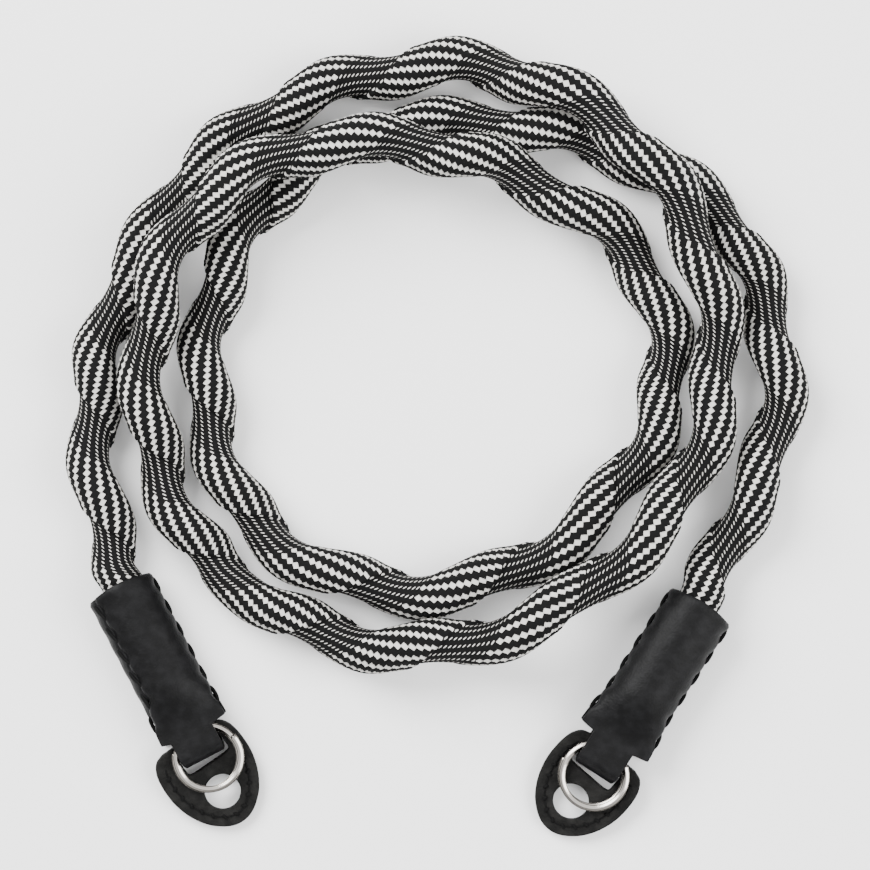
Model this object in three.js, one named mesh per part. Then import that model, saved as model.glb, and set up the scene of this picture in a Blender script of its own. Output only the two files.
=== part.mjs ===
// Neck and shoulder strap for a camera: a thick braided rope that twists on itself, lying in loose
// loops, with a stitched leather sleeve, a split ring and a leather pad at each end.
// Millimetres, +Z up. The origin is on the ground under the middle of the loops.
import * as THREE from 'three';

// Rope
const ROPE_DIAMETER = 9.5;
const TWIST_RADIUS = 1.35; // how far the rope winds around its own middle line
const ROPE_SQUEEZE = 0.3; // how much the sleeve takes off the rope's radius
const ROPE_SEAT = 22; // length of rope inside each sleeve
const SEAT_EASE = 6; // length over which the twist dies out in front of a sleeve
const ROPE_SIDES = 10;
const SECTIONS_PER_TURN = 8;

// Leather sleeve, one strip folded around the ring and sewn along both sides
const LEATHER = 1.3;
const FIT_GAP = 0.3; // between pieces that touch
const SEAM_MARGIN = 1.15; // leather beside the rope on each side, for the seam
const SEAM_GAP = 0.3;
const BARREL_TAPER = 11.4; // from the end of the rope to the shoulders
const SHOULDER = 0.5;
const TAB_WIDTH = 9.6;
const FOLD_REACH = 2.4;
const STRIP_STEPS_ACROSS = 10;

// Split ring, a flat wire wound twice
const RING_DIAMETER = 14.9;
const RING_WIRE_WIDTH = 1.4;
const RING_WIRE_HEIGHT = 0.82;
const RING_WIRE_BEVEL = 0.3;
const RING_COIL_GAP = 0.12;
const RING_TURNS = 1.64;
const RING_CROSSING = 0.3; // share of a turn in which the wire climbs
const RING_STEPS_PER_TURN = 28;

// Pad that keeps the ring off the camera
const PAD_THICKNESS = 2.4;
const PAD_LENGTH = 21.2;
const PAD_WIDTH = 20.0;
const PAD_BEFORE_FOLD = 6.05; // from the pad's top edge to the end of the fold
const PAD_HOLE_DIAMETER = 7.6;
const PAD_CROSSBAR = 2.8; // leather between the slot and the hole
const PAD_ARC_STEPS = 12;
const SLOT_SQUARENESS = 8; // power of the slot's outline, where 2 is an ellipse
const HOLE_SQUARENESS = 2;

// Half of the pad's outline, from its top edge to its tip, as shares of its length and half width
const PAD_OUTLINE = [
  { along: 0.0, across: 0.62 },
  { along: 0.04, across: 0.82 },
  { along: 0.14, across: 0.95 },
  { along: 0.3, across: 1.0 },
  { along: 0.48, across: 0.98 },
  { along: 0.66, across: 0.87 },
  { along: 0.82, across: 0.67 },
  { along: 0.93, across: 0.42 },
  { along: 0.985, across: 0.2 },
];

// Each end: its name, whether the route starts there, how far its fold is from the shoulders and
// how much its sleeve spreads there, the angles of its two seams round the sleeve, how far its
// tab, pad and ring are off the sleeve's axis, the turn of its pad, how far its ring's middle is
// past the end of the fold, and the angle at which the ring's upper coil ends (mm, degrees)
const ENDS = [
  {
    name: 'left',
    first: true,
    tabReach: 6.7,
    spread: 0.3,
    seams: [-4, 143],
    padTurn: 7,
    tabShift: -0.7,
    padShift: -1.95,
    ringShift: -0.1,
    ringPast: -0.4,
    ringEnd: 98,
  },
  {
    name: 'right',
    first: false,
    tabReach: 8.2,
    spread: 1.0,
    seams: [0, 180],
    padTurn: -8,
    tabShift: 0,
    padShift: 0.65,
    ringShift: 0.75,
    ringPast: 0,
    ringEnd: 150,
  },
];

// The rope's route as it was laid: x, y, and the height above where it would rest on the ground.
// Between the sleeves there is one row for each turn of the twist.
const ROUTE = [
  [-55.8, -51.7, 0.0],
  [-60.0, -43.7, 0.0],
  [-67.4, -24.6, 0.0],
  [-71.6, 0.6, 0.0],
  [-68.0, 23.7, 0.0],
  [-55.6, 47.7, 0.0],
  [-38.6, 64.9, 0.0],
  [-14.7, 75.2, 0.0],
  [11.5, 76.9, 2.0],
  [35.3, 66.1, 9.5],
  [52.5, 45.6, 11.2],
  [59.4, 18.9, 5.0],
  [54.2, -7.3, 5.2],
  [35.3, -29.8, 6.8],
  [7.1, -43.5, 5.4],
  [-21.0, -42.2, 1.0],
  [-44.3, -28.8, 0.0],
  [-56.9, -8.4, 2.0],
  [-60.1, 17.4, 7.0],
  [-52.5, 42.4, 10.8],
  [-32.3, 58.0, 12.4],
  [-5.5, 60.7, 12.0],
  [18.5, 53.8, 7.4],
  [40.9, 38.6, 1.0],
  [49.1, 15.8, 0.0],
  [41.6, -7.3, 0.0],
  [19.1, -27.5, 0.0],
  [-9.7, -32.5, 0.0],
  [-35.3, -20.6, 0.0],
  [-46.6, 0.8, 0.0],
  [-47.0, 25.0, 0.0],
  [-37.4, 46.8, 0.0],
  [-17.6, 61.5, 0.0],
  [8.6, 65.3, 0.0],
  [34.9, 60.9, 0.0],
  [58.6, 47.5, 0.0],
  [69.7, 27.3, 0.0],
  [72.0, 2.1, 0.0],
  [61.7, -22.5, 0.0],
  [51.0, -43.8, 0.0],
  [44.1, -54.5, 0.0],
];

// Sizes that follow from the ones above
const ropeRadius = ROPE_DIAMETER / 2;
const seatRadius = ropeRadius - ROPE_SQUEEZE;
const restHeight = ropeRadius + TWIST_RADIUS;
const sleeveHalfHeight = seatRadius + FIT_GAP + LEATHER;
const sleeveHalfWidth = sleeveHalfHeight + SEAM_MARGIN;
const tabHalf = TAB_WIDTH / 2;
const shoulderAt = ROPE_SEAT + BARREL_TAPER;
const ringHeight = 2 * RING_WIRE_HEIGHT + RING_COIL_GAP;

const UP = new THREE.Vector3(0, 0, 1);
const degrees = (angle) => (angle * Math.PI) / 180;
const mix = (a, b, share) => a + (b - a) * share;
const smooth = (share) => THREE.MathUtils.smoothstep(share, 0, 1);

// A closed mesh from rings of points, with its two end faces given as triangles of ring indices
function sweep(rings, cap) {
  const count = rings[0].length;
  const last = (rings.length - 1) * count;
  const index = [];
  for (let r = 0; r + 1 < rings.length; r++) {
    for (let k = 0; k < count; k++) {
      const a = r * count + k;
      const b = r * count + ((k + 1) % count);
      index.push(a, b, b + count);
      index.push(a, b + count, a + count);
    }
  }
  for (const [a, b, c] of cap) {
    index.push(a, c, b);
    index.push(last + a, last + b, last + c);
  }
  const points = rings.flat();
  let volume = 0;
  for (let i = 0; i < index.length; i += 3) {
    const [p, q, r] = [points[index[i]], points[index[i + 1]], points[index[i + 2]]];
    volume += p.dot(q.clone().cross(r));
  }
  if (volume < 0) index.reverse();
  const geometry = new THREE.BufferGeometry().setFromPoints(points);
  geometry.setIndex(index);
  geometry.computeVertexNormals();
  return geometry;
}

// End face of a convex ring
function fanCap(count) {
  const cap = [];
  for (let k = 1; k + 1 < count; k++) cap.push([0, k, k + 1]);
  return cap;
}

// End face of a ring that goes out along one side of a wall and back along the other
function wallCap(count) {
  const cap = [];
  for (let k = 0; k + 1 < count / 2; k++) {
    const back = count - 1 - k;
    cap.push([k, k + 1, back - 1]);
    cap.push([k, back - 1, back]);
  }
  return cap;
}

// The rope's middle line, as a smooth curve through the route, at row number t
const routePoints = ROUTE.map(([x, y, lift]) => new THREE.Vector3(x, y, restHeight + lift));
const lastRow = routePoints.length - 1;

function routePoint(t) {
  const row = Math.min(Math.floor(t), lastRow - 1);
  const [a, b] = [routePoints[row], routePoints[row + 1]];
  const before = routePoints[row - 1] ?? a.clone().multiplyScalar(2).sub(b);
  const after = routePoints[row + 2] ?? b.clone().multiplyScalar(2).sub(a);
  const s = t - row;
  const point = new THREE.Vector3();
  point.addScaledVector(before, -0.5 * s + s ** 2 - 0.5 * s ** 3);
  point.addScaledVector(a, 1 - 2.5 * s ** 2 + 1.5 * s ** 3);
  point.addScaledVector(b, 0.5 * s + 2 * s ** 2 - 1.5 * s ** 3);
  point.addScaledVector(after, -0.5 * s ** 2 + 0.5 * s ** 3);
  return point;
}

// How much of a sleeve's grip there is at a point: 0 out in the open, 1 inside either sleeve
function grip(point) {
  const toEnd = Math.min(point.distanceTo(routePoints[0]), point.distanceTo(routePoints[lastRow]));
  return 1 - smooth((toEnd - ROPE_SEAT) / SEAT_EASE);
}

function ropeGeometry() {
  const steps = lastRow * SECTIONS_PER_TURN;
  const rings = [];
  for (let i = 0; i <= steps; i++) {
    const t = i / SECTIONS_PER_TURN;
    const nudge = 0.01;
    const ahead = routePoint(Math.min(t + nudge, lastRow));
    const tangent = ahead.sub(routePoint(Math.max(t - nudge, 0))).normalize();
    const right = tangent.clone().cross(UP).normalize();
    const up = right.clone().cross(tangent);
    const middle = routePoint(t);
    const held = grip(middle);
    middle.z = mix(middle.z, sleeveHalfHeight, held);
    const radius = mix(ropeRadius, seatRadius, held);
    const twist = TWIST_RADIUS * (1 - held);
    const phase = 2 * Math.PI * t;
    middle.addScaledVector(right, twist * Math.sin(phase));
    middle.addScaledVector(up, -twist * Math.cos(phase));
    const ring = [];
    for (let k = 0; k < ROPE_SIDES; k++) {
      const angle = (2 * Math.PI * (k + 0.5)) / ROPE_SIDES;
      const point = middle.clone();
      point.addScaledVector(right, radius * Math.cos(angle));
      point.addScaledVector(up, radius * Math.sin(angle));
      ring.push(point);
    }
    rings.push(ring);
  }
  return sweep(rings, fanCap(ROPE_SIDES));
}

// Places along one end's own axis. The pad leans on the tab's lower layer and, at its tip, on
// the ground.
function layOut(end) {
  const foldEnd = shoulderAt + end.tabReach;
  const foldStart = foldEnd - FOLD_REACH;
  const reach = tabHalf + Math.abs(end.tabShift);
  const swing = reach * Math.tan(degrees(Math.abs(end.padTurn)));
  const slotStart = foldStart - swing - FIT_GAP;
  const slotEnd = foldEnd + swing + FIT_GAP;
  const padStart = foldEnd - PAD_BEFORE_FOLD;
  const slope = (LEATHER + FIT_GAP) / (padStart + PAD_LENGTH - slotEnd);
  const pivot = (slotStart + slotEnd) / 2;
  const ringAt = foldEnd + end.ringPast;
  return { foldEnd, foldStart, slotStart, slotEnd, padStart, slope, pivot, ringAt };
}

// Height of the pad's lower face at a distance along the end's own axis
const padUnderside = (layout, along) => layout.slope * (layout.padStart + PAD_LENGTH - along);

// Height of the tab's outer face, over the pad and the ring
function tabTop(layout) {
  const ringNear = layout.ringAt - RING_DIAMETER / 2;
  const tilt = Math.hypot(1, layout.slope);
  const stack = (PAD_THICKNESS + FIT_GAP + ringHeight) * tilt;
  return padUnderside(layout, ringNear) + stack + FIT_GAP + LEATHER;
}

// One row of points across the leather strip: out along its outer face, back along its inner one
function stripRow({ along, halfWidth, round, edge, crown, side, seams, aside }) {
  const gap = side * (SEAM_GAP / 2 / sleeveHalfHeight);
  const from = degrees(seams[0]) * round;
  const to = mix(Math.PI, degrees(seams[1]), round) - (side > 0 ? 0 : 2 * Math.PI);
  const outer = [];
  const inner = [];
  for (let k = 0; k <= STRIP_STEPS_ACROSS; k++) {
    const share = k / STRIP_STEPS_ACROSS;
    const angle = mix(from + gap, to - gap, share);
    const [c, s] = [Math.cos(angle), Math.sin(angle) * side];
    const innerEdge = edge - side * LEATHER * (1 - round);
    const innerCrown = crown - side * LEATHER;
    outer.push(new THREE.Vector3(along, aside + halfWidth * c, mix(edge, crown, s)));
    const innerHalf = halfWidth - LEATHER * round;
    inner.push(new THREE.Vector3(along, aside + innerHalf * c, mix(innerEdge, innerCrown, s)));
  }
  return [...outer, ...inner.reverse()];
}

// Sections of the strip from the mouth of the sleeve to the start of the fold
function stripStations(foldStart, end) {
  const flat = shoulderAt + SHOULDER;
  const taper = [0, 0.2, 0.4, 0.6, 0.8, 1];
  const barrel = [0, ROPE_SEAT / 2];
  return [
    ...barrel.map((along) => ({ along, round: 1, halfWidth: sleeveHalfWidth, aside: 0 })),
    ...taper.map((share) => ({
      along: ROPE_SEAT + share * BARREL_TAPER,
      round: 1 - smooth(share),
      halfWidth: sleeveHalfWidth + end.spread * smooth(share),
      aside: 0,
    })),
    { along: flat, round: 0, halfWidth: tabHalf, aside: end.tabShift },
    { along: foldStart, round: 0, halfWidth: tabHalf, aside: end.tabShift },
  ];
}

function sleeveGeometry(end) {
  const layout = layOut(end);
  const high = tabTop(layout);
  const layer = (side) =>
    stripStations(layout.foldStart, end).map(({ along, round, halfWidth, aside }) =>
      stripRow({
        along,
        halfWidth,
        round,
        side,
        seams: end.seams,
        aside,
        edge: mix(side > 0 ? high : 0, sleeveHalfHeight, round),
        crown: mix(side > 0 ? high : 0, side > 0 ? 2 * sleeveHalfHeight : 0, round),
      }),
    );
  const fold = [];
  const foldSteps = 6;
  for (let i = 1; i < foldSteps; i++) {
    const angle = Math.PI / 2 - (Math.PI * i) / foldSteps;
    const [c, s] = [Math.cos(angle), Math.sin(angle)];
    const row = stripRow({
      along: 0,
      halfWidth: tabHalf,
      round: 0,
      side: 1,
      seams: [0, 180],
      aside: end.tabShift,
      edge: 0,
      crown: 0,
    });
    const place = (point, half) =>
      new THREE.Vector3(
        layout.foldStart + (FOLD_REACH - half) * c,
        point.y,
        high / 2 + (high / 2 - half) * s,
      );
    fold.push(row.map((point, k) => place(point, k < row.length / 2 ? 0 : LEATHER)));
  }
  const rings = [...layer(1), ...fold, ...layer(-1).reverse()];
  return sweep(rings, wallCap(rings[0].length));
}

// The pad's outline, slot and hole, drawn along its own length from its top edge
function padGeometry(end) {
  const layout = layOut(end);
  const half = PAD_OUTLINE.map(
    ({ along, across }) => new THREE.Vector2(along * PAD_LENGTH, (across * PAD_WIDTH) / 2),
  );
  const tip = new THREE.Vector2(PAD_LENGTH, 0);
  const mirrored = half.map((point) => new THREE.Vector2(point.x, -point.y)).reverse();
  const outline = new THREE.SplineCurve([...half, tip, ...mirrored]).getPoints(3 * PAD_ARC_STEPS);
  const shape = new THREE.Shape(outline);
  const slotStart = layout.slotStart - layout.padStart;
  const slotEnd = layout.slotEnd - layout.padStart;
  const slotHalfLength = (slotEnd - slotStart) / 2;
  const slotHalfWidth = tabHalf + 2 * FIT_GAP;
  const slotCentre = new THREE.Vector2((slotStart + slotEnd) / 2, end.tabShift - end.padShift);
  const holeRadius = PAD_HOLE_DIAMETER / 2;
  const holeCentre = new THREE.Vector2(slotEnd + PAD_CROSSBAR + holeRadius, 0);
  shape.holes.push(
    opening(slotCentre, slotHalfLength, slotHalfWidth, SLOT_SQUARENESS),
    opening(holeCentre, holeRadius, holeRadius, HOLE_SQUARENESS),
  );
  return new THREE.ExtrudeGeometry(shape, { depth: PAD_THICKNESS, bevelEnabled: false });
}

// An opening in the pad: a full curve with the given half sizes, squarer as the power grows
function opening(centre, halfLength, halfWidth, power) {
  const points = [];
  const steps = 2 * PAD_ARC_STEPS;
  for (let i = 0; i < steps; i++) {
    const angle = (2 * Math.PI * i) / steps;
    const [c, s] = [Math.cos(angle), Math.sin(angle)];
    const x = Math.sign(c) * Math.abs(c) ** (2 / power);
    const y = Math.sign(s) * Math.abs(s) ** (2 / power);
    points.push(new THREE.Vector2(centre.x + halfLength * x, centre.y + halfWidth * y));
  }
  return new THREE.Path(points);
}

// A flat wire wound round and round, which climbs from its lower coil to its upper one
function ringGeometry() {
  const middle = (RING_DIAMETER - RING_WIRE_WIDTH) / 2;
  const [w, h, b] = [RING_WIRE_WIDTH / 2, RING_WIRE_HEIGHT / 2, RING_WIRE_BEVEL];
  const section = [
    [w, -h + b],
    [w, h - b],
    [w - b, h],
    [-w + b, h],
    [-w, h - b],
    [-w, -h + b],
    [-w + b, -h],
    [w - b, -h],
  ];
  const steps = Math.round(RING_TURNS * RING_STEPS_PER_TURN);
  const rings = [];
  for (let i = 0; i <= steps; i++) {
    const turn = (i / steps - 0.5) * RING_TURNS;
    const climb = smooth(turn / RING_CROSSING + 0.5);
    const height = RING_WIRE_HEIGHT / 2 + climb * (RING_WIRE_HEIGHT + RING_COIL_GAP);
    const angle = 2 * Math.PI * turn;
    rings.push(
      section.map(([out, up]) => {
        const reach = middle + out;
        return new THREE.Vector3(reach * Math.cos(angle), reach * Math.sin(angle), height + up);
      }),
    );
  }
  return sweep(rings, fanCap(section.length));
}

const white = new THREE.MeshStandardMaterial({ color: 0x8d8b86, roughness: 0.85, metalness: 0 });
const black = new THREE.MeshStandardMaterial({ color: 0x17171a, roughness: 0.6, metalness: 0 });
const steel = new THREE.MeshStandardMaterial({ color: 0xc9c5bf, roughness: 0.25, metalness: 1 });

function named(name, geometry, material) {
  const mesh = new THREE.Mesh(geometry, material);
  mesh.name = name;
  return mesh;
}

// Sleeve, pad and ring of one end, in a group whose x axis runs along the sleeve from its mouth
function endGroup(end) {
  const tip = routePoints[end.first ? 0 : lastRow];
  const before = routePoints[end.first ? 1 : lastRow - 1];
  const direction = tip.clone().sub(before).setZ(0).normalize();
  const group = new THREE.Group();
  group.position.copy(tip).addScaledVector(direction, -ROPE_SEAT).setZ(0);
  group.rotation.z = Math.atan2(direction.y, direction.x);
  group.add(named(`${end.name}_sleeve`, sleeveGeometry(end), black));

  const layout = layOut(end);
  const turned = new THREE.Group();
  turned.position.set(layout.pivot, 0, 0);
  turned.rotation.z = degrees(end.padTurn);
  const leaning = new THREE.Group();
  leaning.position.z = padUnderside(layout, layout.pivot);
  leaning.rotation.y = Math.atan(layout.slope);
  turned.add(leaning);
  group.add(turned);

  const pad = named(`${end.name}_pad`, padGeometry(end), black);
  pad.position.set(layout.padStart - layout.pivot, end.padShift, 0);
  leaning.add(pad);
  const ring = named(`${end.name}_ring`, ringGeometry(), steel);
  ring.position.set(layout.ringAt - layout.pivot, end.ringShift, PAD_THICKNESS + FIT_GAP);
  ring.rotation.z = degrees(end.ringEnd) - RING_TURNS * Math.PI;
  leaning.add(ring);
  return group;
}

const strap = new THREE.Group();
strap.add(named('rope', ropeGeometry(), white));
for (const end of ENDS) strap.add(endGroup(end));

export default strap;
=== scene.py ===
# A rope camera strap lying in loose loops: braided rope, stitched leather sleeves and pads, split
# rings. Metres, +Z up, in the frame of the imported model.
import math

import bpy
import numpy as np
from mathutils import Matrix, Vector


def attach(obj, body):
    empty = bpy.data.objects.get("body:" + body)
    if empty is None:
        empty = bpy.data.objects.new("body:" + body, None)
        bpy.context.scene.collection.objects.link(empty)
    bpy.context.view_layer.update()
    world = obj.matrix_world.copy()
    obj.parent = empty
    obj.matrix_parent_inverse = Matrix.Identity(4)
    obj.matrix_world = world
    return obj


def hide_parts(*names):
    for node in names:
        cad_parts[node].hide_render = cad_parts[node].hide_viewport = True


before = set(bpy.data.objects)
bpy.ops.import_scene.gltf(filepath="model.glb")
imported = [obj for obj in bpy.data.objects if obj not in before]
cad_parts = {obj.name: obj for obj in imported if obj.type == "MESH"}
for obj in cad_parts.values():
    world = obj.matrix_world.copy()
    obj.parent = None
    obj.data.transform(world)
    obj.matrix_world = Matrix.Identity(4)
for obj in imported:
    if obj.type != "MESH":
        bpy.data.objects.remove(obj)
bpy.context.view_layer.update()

# Rope
ROPE_RADIUS = 0.00475
TWIST_RADIUS = 0.00135
SEAT_RADIUS = 0.00445  # of the rope inside a sleeve
ROPE_SEAT = 0.022  # how far the rope goes into a sleeve
SEAT_EASE = 0.006  # and over what further length its twist comes in
ROPE_PIECES = 4
COLUMNS = 13  # white stripes round the rope
STEPS_PER_COLUMN = 6
STEPS_PER_STITCH = 4
STITCHES_PER_TURN = 24
FULL_STITCHES = 13  # of these, the ones on the outside of the twist
FULL_SHARE = 0.65  # share of the circumference where the stitches are full
COLUMN_CROWDING = 0.24
STITCH_RELIEF = 0.00022
STITCH_LEAN = 0.7  # of the stitches where the full side begins
BRAID_BLACK = (0.0048, 0.0048, 0.0049)
BRAID_WHITE = (0.6, 0.585, 0.555)
STITCH_ENDS = 0.075  # half width of a raised stitch at its ends, of its column's width
STITCH_SWELL = 0.25  # and how much more it is half way
STITCH_EDGE = 0.16  # width of its rounded edge
RELIEF_LOST = 0.7  # share of the relief that is lost on the inside of the twist
HIDDEN_STITCHES = 3  # left out at each end of the rope, inside the sleeve
LAY_ROUNDS = 7  # rounds of the sum that says where a stitch lies along the rope
PATH_POINTS = 160  # of each cord's path
TANGENT_STEP = 0.01  # in turns of the twist
PINCH = 0.0006  # how far the inside of the twist is drawn in, just past the ledge
PINCH_FADE = 0.75  # share of the pinch that is lost by the other side of the inside
LEDGE = 0.0002  # how far the outside of the twist stands up at the ledge
LEDGE_WIDTH = 0.2  # of half the circumference, as are the next two
LEDGE_STEP = 0.045
FULL_FADE = 0.12

# The braid's pattern: full diamonds, and thin dashes on the inside, in shares of a stitch's cell
DIAMOND_HALF = 0.31
DIAMOND_SLOPE = 0.54
DIAMOND_EDGE = (-0.015, 0.025)
DASH_HALF = 0.088
DASH_LEAN = 0.45
DASH_ROUNDING = 5.0
DASH_POWER = 4.0
DASH_EDGE = (-0.03, 0.03)
EDGE_WOBBLE = 0.06
WOBBLE_SCALE = 2600
DOME_WIDTH = 0.13
YARN_LINES = 56.0  # fine lines along the yarns, in radians a cell
YARN_LEAN = 0.5
YARN_RELIEF = 0.12
BRAID_BUMP = 0.00016
BRAID_BUMP_STRENGTH = 0.8

# Leather, thread and steel: colours, the scales of their noises and the depths of their grain
SLEEVE_BLACK = (0.0022, 0.0022, 0.0024)
SLEEVE_ROUGHNESS = 0.5
SLEEVE_GRAIN = 0.00022
PAD_BLACK = (0.0036, 0.0035, 0.0033)
PAD_ROUGHNESS = 0.7
PAD_GRAIN = 0.0005
CREASE_LIGHTER = 2.8  # how many times lighter the creases are
CREASE_TONES = (0.35, 0.75)
CREASE_SCALE = 420
CREASE_DETAIL = 4.0
CREASE_SHARE = 0.4  # of the grain's depth, where the pores have the rest
PORE_SCALE = 2300
PORE_DETAIL = 3.0
PORE_SHARE = 0.6
LEATHER_BUMP_STRENGTH = 0.7
LEATHER_GLOSS = 0.11
THREAD_BLACK = (0.002, 0.002, 0.002)
THREAD_LIGHTER = (0.0055, 0.0055, 0.0055)
THREAD_TONE_SCALE = 3000
THREAD_GRAIN_SCALE = 4000
THREAD_GRAIN = 0.0001
TEXTILE_ROUGHNESS = 0.8
TEXTILE_GLOSS = 0.08
# Steel colours: a painted reflection, dark on the wire's sides as if they mirrored the black
# leather, bright on top; the fade range says how upward a face must be to take the top's colour
STEEL_PAINTED_SIDE_REFLECTION = (0.045, 0.04, 0.034)
STEEL_TOP = (0.53, 0.5, 0.465)
STEEL_PAINTED_REFLECTION_FADE = (0.82, 0.985)
STEEL_ROUGHNESS = 0.18
STEEL_GRAIN_SCALE = 5000
STEEL_GRAIN = 0.000004

# Leather sleeves
LEATHER = 0.0013
FIT_GAP = 0.0003
GROUND_GAP = 0.00002
SLEEVE_HALF_HEIGHT = 0.00605
SLEEVE_HALF_WIDTH = 0.0072
BARREL_TAPER = 0.0114  # from the rope's end to the shoulders, over which the sleeve flattens
SHOULDER = 0.0007  # length over which the strip narrows to its tab
TAB_HALF = 0.0048
FOLD_REACH = 0.0024
FOLD_ROUNDING = 0.1  # share of the tab's width lost at the end of the fold
SEAM_PITCH = 0.0052
SEAM_THREAD = 0.00042
SEAM_THREAD_SIDES = 8
SEAM_FIRST = 0.0028
SEAM_TO_SHOULDER = 0.003
MOUTH_BULGE = 0.0011
MOUTH_BULGE_REACH = 0.012
MOUTH_ROUNDING = 0.0006  # how far in from the mouth the wall is thinner
MOUTH_THINNING = 0.25  # share of the wall that each face gives up at the mouth
SEAM_RIDGE = 0.0003  # how far the leather stands out along a seam
SEAM_PULL = 0.0006  # how far a stitch draws it in
SEAM_PULL_REACH = 0.0013
SEAM_PULL_BEFORE = 0.0015  # how far before the first stitch the pull begins
SEAM_NEARNESS = 12  # power that keeps the ridge and the pull beside the seam
SEAM_GROOVE = 0.0005
SEAM_GROOVE_SHARE = 0.03  # of the way from seam to seam
SLEEVE_WAVE = 0.00006
WAVES_ALONG = (410, 130)  # radians a metre
WAVES_ROUND = (9, 11)  # radians from seam to seam
STRIP_STEPS = 40
MOUTH_STATIONS = (0.0, 0.0002, 0.0006)
BARREL_START = 0.0012
BARREL_STATIONS = 76
SHOULDER_STATIONS = 8
TAB_STATIONS = 14
FOLD_STATIONS = 26
STATION_GAP = 0.0002
WALL_ROUNDING = 0.15  # how far the strip's edges round out, in steps across it
STITCH_REACH = 0.0022  # half of a seam stitch's length along the seam
STITCH_SWING = 0.24  # and how far round the sleeve it goes, in radians
STITCH_SWING_ON_TOP = 0.07
STITCH_STANDS_OUT = 0.0001
STITCH_SINKS = 0.1  # share of its distance from the sleeve's axis that it loses at its ends
STITCH_STEPS = 15

# Threads: how thick their last and last but one rings are, and a direction that none follows
THREAD_TIP = 0.15
THREAD_NEAR_TIP = 0.8
OFF_THREAD = (0.31, 0.17, 0.93)

# Rings
RING_RADIUS = 0.00745
RING_WIRE_WIDTH = 0.0014
RING_WIRE_HEIGHT = 0.00082
RING_COIL_GAP = 0.00012
RING_TURNS = 1.64
RING_CROSSING = 0.3
RING_COIL_OFFSET = 0.00033  # sideways, of the lower coil
RING_LINES = 2  # fine grooves along the wire
RING_GROOVE = 0.00005
RING_SIDES = 28
RING_STEPS = 200
RING_TIP = 0.75  # size of the wire's last section, which rounds its end

# Pads
PAD_THICKNESS = 0.0024
PAD_LENGTH = 0.0212
PAD_HALF_WIDTH = 0.0100
PAD_BEFORE_FOLD = 0.00605
PAD_HOLE_RADIUS = 0.0038
PAD_CROSSBAR = 0.0028
SLOT_GAP = 0.0004  # between the tab's edge and the end of the slot
SLOT_SQUARENESS = 8  # power of the slot's outline, where 2 is an ellipse
HOLE_SQUARENESS = 2
PAD_BEVEL = 0.00028
PAD_BEVEL_STEPS = 3
PAD_OUTLINE_STEPS = 120
SLOT_STEPS = 96
HOLE_STEPS = 48
PAD_STITCH_INSET = 0.0021
PAD_STITCH_PITCH = 0.0025
PAD_THREAD = 0.0002
PAD_KNOT = 0.0004  # the thread's radius where it goes down through the pad
PAD_KNOT_REACH = 0.0004  # half of a knot along the rim
PAD_KNOT_SLANT = 0.0005  # and across it
PAD_STITCH_LIFT = 0.00006  # above the pad's face half way
PAD_STITCH_DIP = 0.00025  # and how much lower at its ends
PAD_STITCH_STEPS = 9
PAD_THREAD_SIDES = 6
RIM_STEPS = 600  # of the rim's line that the stitches follow
PAD_OUTLINE = [  # half of the rim, in shares of the pad's length and half width
    (0.0, 0.62),
    (0.04, 0.82),
    (0.14, 0.95),
    (0.3, 1.0),
    (0.48, 0.98),
    (0.66, 0.87),
    (0.82, 0.67),
    (0.93, 0.42),
    (0.985, 0.2),
    (1.0, 0.0),
]

# Each end: its name, whether the route starts there, how far its fold is from the shoulders and
# how much its sleeve spreads there, the angles of its two seams, how far its tab, pad and ring are
# off the sleeve's axis, the turn of its pad, how far its ring's middle is past the end of the fold,
# and the angle at which the ring's upper coil ends (metres, degrees)
ENDS = [
    {
        "name": "left",
        "first": True,
        "tab": 0.0067,
        "spread": 0.0003,
        "seams": (-4, 143),
        "tab_shift": -0.0007,
        "pad_shift": -0.00195,
        "ring_shift": -0.0001,
        "turn": 7,
        "ring_past": -0.0004,
        "ring_end": 98,
    },
    {
        "name": "right",
        "first": False,
        "tab": 0.0082,
        "spread": 0.0010,
        "seams": (0, 180),
        "tab_shift": 0.0,
        "pad_shift": 0.00065,
        "ring_shift": 0.00075,
        "turn": -8,
        "ring_past": 0.0,
        "ring_end": 150,
    },
]

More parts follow.
